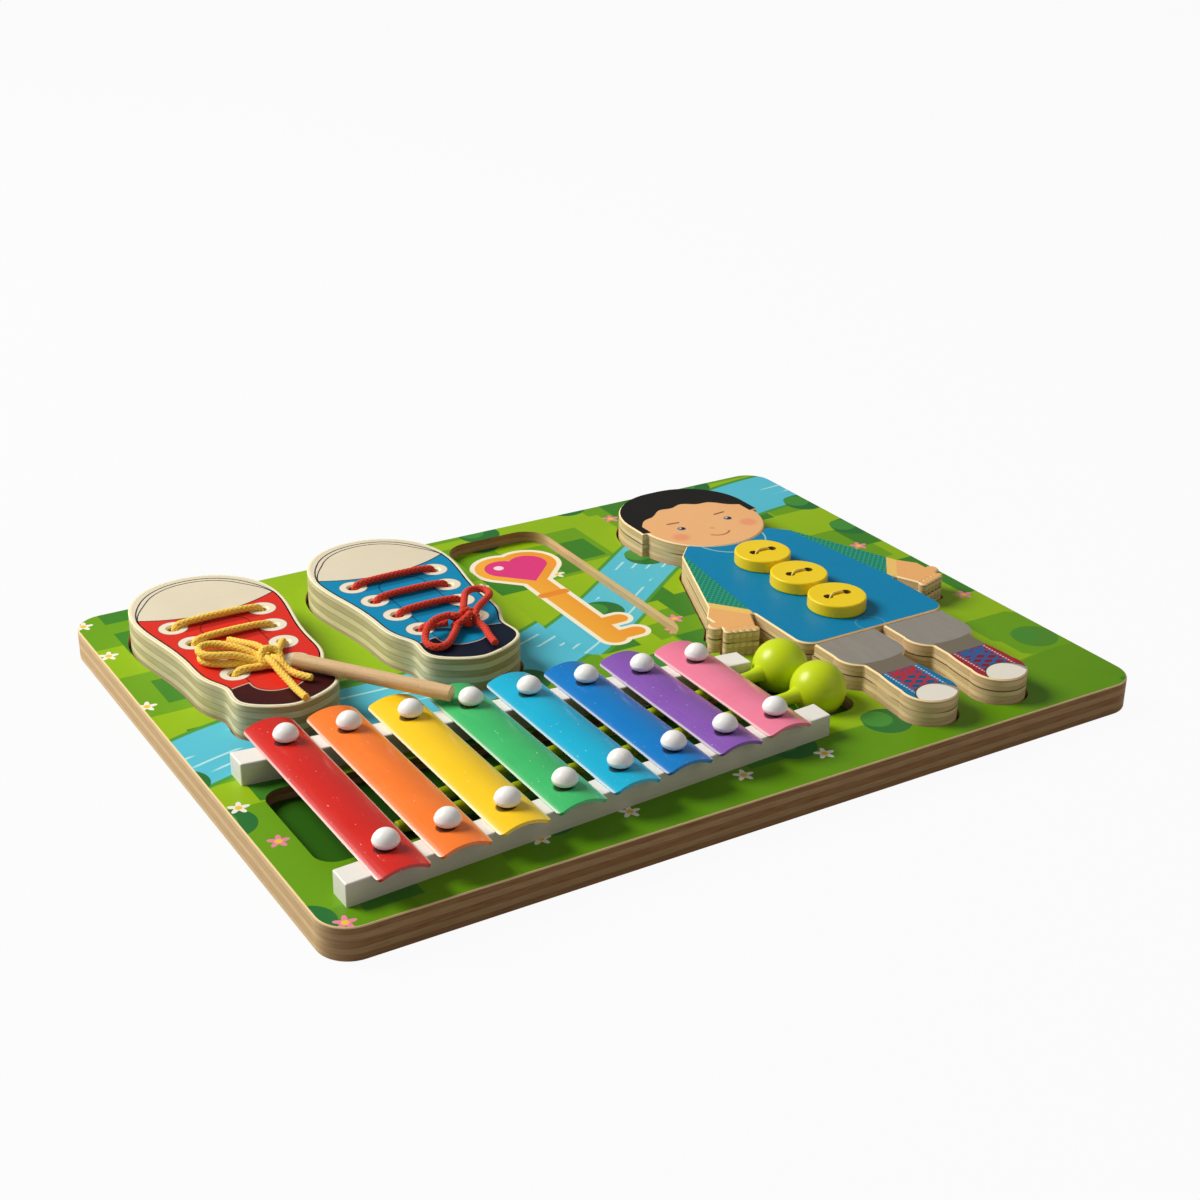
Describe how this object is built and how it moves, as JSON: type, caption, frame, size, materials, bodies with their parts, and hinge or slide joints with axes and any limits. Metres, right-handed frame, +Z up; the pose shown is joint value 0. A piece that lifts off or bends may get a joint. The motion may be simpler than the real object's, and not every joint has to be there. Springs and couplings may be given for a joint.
{
  "type": "activity panel",
  "caption": "Wooden activity panel with lift-out lacing shoes, a xylophone with mallets, a key tray and a dress-up doll puzzle with turning buttons.",
  "frame": {"origin": "middle of the board's underside", "axes": "+X along the long side towards the doll, +Y from the xylophone towards the shoe toes, +Z up out of the printed face"},
  "size_m": [0.4, 0.3, 0.0399],
  "materials": {
    "board_wood": "bare plywood",
    "printed_wood": "printed and varnished",
    "white_wood": "satin paint",
    "bar_red": "gloss paint",
    "bar_orange": "gloss paint",
    "bar_yellow": "gloss paint",
    "bar_green": "gloss paint",
    "bar_light_blue": "gloss paint",
    "bar_blue": "gloss paint",
    "bar_purple": "gloss paint",
    "bar_pink": "gloss paint",
    "white_plastic": "gloss",
    "screw_steel": "plated",
    "lime_wood": "gloss paint",
    "red_wood": "printed top, plain edge",
    "blue_wood": "printed top, plain edge",
    "yellow_lace": "braided",
    "red_lace": "braided",
    "plain_wood": "bare",
    "head_wood": "printed top",
    "shirt_wood": "printed top",
    "trouser_wood": "printed top",
    "yellow_wood": "gloss paint"
  },
  "bodies": {
    "panel": {"backing_board": "board_wood", "top_board": "printed_wood", "back_rail": "white_wood", "front_rail": "white_wood", "bar_red": "bar_red", "bar_orange": "bar_orange", "bar_yellow": "bar_yellow", "bar_green": "bar_green", "bar_light_blue": "bar_light_blue", "bar_blue": "bar_blue", "bar_purple": "bar_purple", "bar_pink": "bar_pink", "back_pins": "white_plastic", "front_pins": "white_plastic", "rail_screws": "screw_steel"},
    "red_shoe": {"red_shoe": "red_wood", "yellow_lace_run": "yellow_lace", "yellow_lace_knot": "yellow_lace", "yellow_lace_upper_loop": "yellow_lace", "yellow_lace_lower_loop": "yellow_lace", "yellow_lace_back_tail": "yellow_lace", "yellow_lace_heel_tail": "yellow_lace", "yellow_lace_side_tail": "yellow_lace"},
    "blue_shoe": {"blue_shoe": "blue_wood", "red_lace_run": "red_lace", "red_lace_knot": "red_lace", "red_lace_left_loop": "red_lace", "red_lace_right_loop": "red_lace", "red_lace_heel_tail": "red_lace"},
    "stick": {"wooden_stick": "plain_wood"},
    "doll_base": {"doll_base": "plain_wood"},
    "doll_head": {"doll_head": "head_wood"},
    "doll_shirt": {"doll_shirt": "shirt_wood", "button_pegs": "plain_wood"},
    "doll_left_leg": {"doll_left_leg": "trouser_wood"},
    "doll_right_leg": {"doll_right_leg": "trouser_wood"},
    "button_1": {"button_1": "yellow_wood"},
    "button_2": {"button_2": "yellow_wood"},
    "button_3": {"button_3": "yellow_wood"},
    "front_mallet": {"front_mallet_head": "lime_wood", "front_mallet_stick": "lime_wood"},
    "back_mallet": {"back_mallet_head": "lime_wood", "back_mallet_stick": "lime_wood"}
  },
  "joints": [
    {"name": "red_shoe_lift", "type": "slide", "parent": "panel", "child": "red_shoe", "axis": [0, 0, 1], "range_m": [0, 0.04]},
    {"name": "blue_shoe_lift", "type": "slide", "parent": "panel", "child": "blue_shoe", "axis": [0, 0, 1], "range_m": [0, 0.04]},
    {"name": "stick_lift", "type": "slide", "parent": "red_shoe", "child": "stick", "axis": [0, 0, 1], "range_m": [0, 0.03]},
    {"name": "doll_base_lift", "type": "slide", "parent": "panel", "child": "doll_base", "axis": [0, 0, 1], "range_m": [0, 0.03]},
    {"name": "doll_head_lift", "type": "slide", "parent": "doll_base", "child": "doll_head", "axis": [0, 0, 1], "range_m": [0, 0.02]},
    {"name": "doll_shirt_lift", "type": "slide", "parent": "doll_base", "child": "doll_shirt", "axis": [0, 0, 1], "range_m": [0, 0.02]},
    {"name": "doll_left_leg_lift", "type": "slide", "parent": "doll_base", "child": "doll_left_leg", "axis": [0, 0, 1], "range_m": [0, 0.02]},
    {"name": "doll_right_leg_lift", "type": "slide", "parent": "doll_base", "child": "doll_right_leg", "axis": [0, 0, 1], "range_m": [0, 0.02]},
    {"name": "front_mallet_slide", "type": "slide", "parent": "panel", "child": "front_mallet", "axis": [0.9999, -0.0122, 0], "range_m": [-0.011, 0.003]},
    {"name": "back_mallet_slide", "type": "slide", "parent": "panel", "child": "back_mallet", "axis": [0.9984, 0.0572, 0], "range_m": [0, 0.003]},
    {"name": "button_1_spin", "type": "hinge", "parent": "doll_shirt", "child": "button_1", "pos_m": [0.1108, 0.0203, 0.03], "axis": [0, 0, 1], "continuous": true},
    {"name": "button_2_spin", "type": "hinge", "parent": "doll_shirt", "child": "button_2", "pos_m": [0.1108, -0.0097, 0.03], "axis": [0, 0, 1], "continuous": true},
    {"name": "button_3_spin", "type": "hinge", "parent": "doll_shirt", "child": "button_3", "pos_m": [0.1108, -0.0397, 0.03], "axis": [0, 0, 1], "continuous": true}
  ]
}
